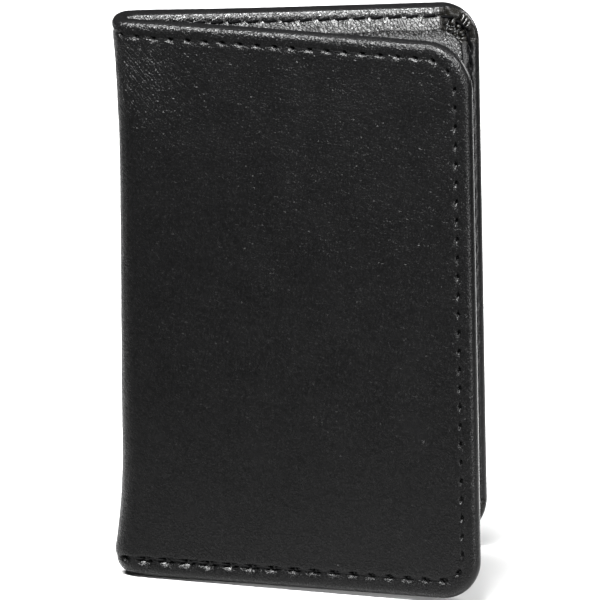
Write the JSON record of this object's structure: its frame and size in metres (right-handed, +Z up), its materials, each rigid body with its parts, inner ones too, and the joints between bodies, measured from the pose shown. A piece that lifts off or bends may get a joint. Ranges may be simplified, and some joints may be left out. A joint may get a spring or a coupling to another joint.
{
  "type": "card holder",
  "caption": "Bifold leather card holder that opens like a book, with stitched turned edges, a slip pocket and card slots inside, standing part open.",
  "frame": {"origin": "on the surface the holder stands on, under the middle of its bounding box", "axes": "+Z up along the spine, +X from the spine towards the fore-edges, +Y towards the rear cover; the covers open evenly to either side of the XZ plane"},
  "size_m": [0.066, 0.0548, 0.102],
  "materials": {
    "cover_leather": "black, fine smooth grain, soft sheen",
    "lining_leather": "black, smooth",
    "pocket_leather": "black, fine pebbled grain",
    "stiffener_board": "plain grey-brown board",
    "thread": "black twisted thread"
  },
  "bodies": {
    "rear_half": {"rear_cover": "cover_leather", "rear_board": "stiffener_board", "rear_lining": "lining_leather", "rear_pocket": "pocket_leather", "rear_needle_thread": "thread", "rear_bobbin_thread": "thread", "rear_pocket_thread": "thread"},
    "front_half": {"front_cover": "cover_leather", "front_board": "stiffener_board", "front_lining": "lining_leather", "card_slot_front": "pocket_leather", "card_slot_back": "pocket_leather", "front_needle_thread": "thread", "front_bobbin_thread": "thread", "card_slot_front_thread": "thread", "card_slot_back_thread": "thread"}
  },
  "joints": [
    {"name": "spine_fold", "type": "hinge", "parent": "rear_half", "child": "front_half", "pos_m": [-0.03304, 0, 0.051], "axis": [0, 0, -1], "range_deg": [-41, 139]}
  ]
}
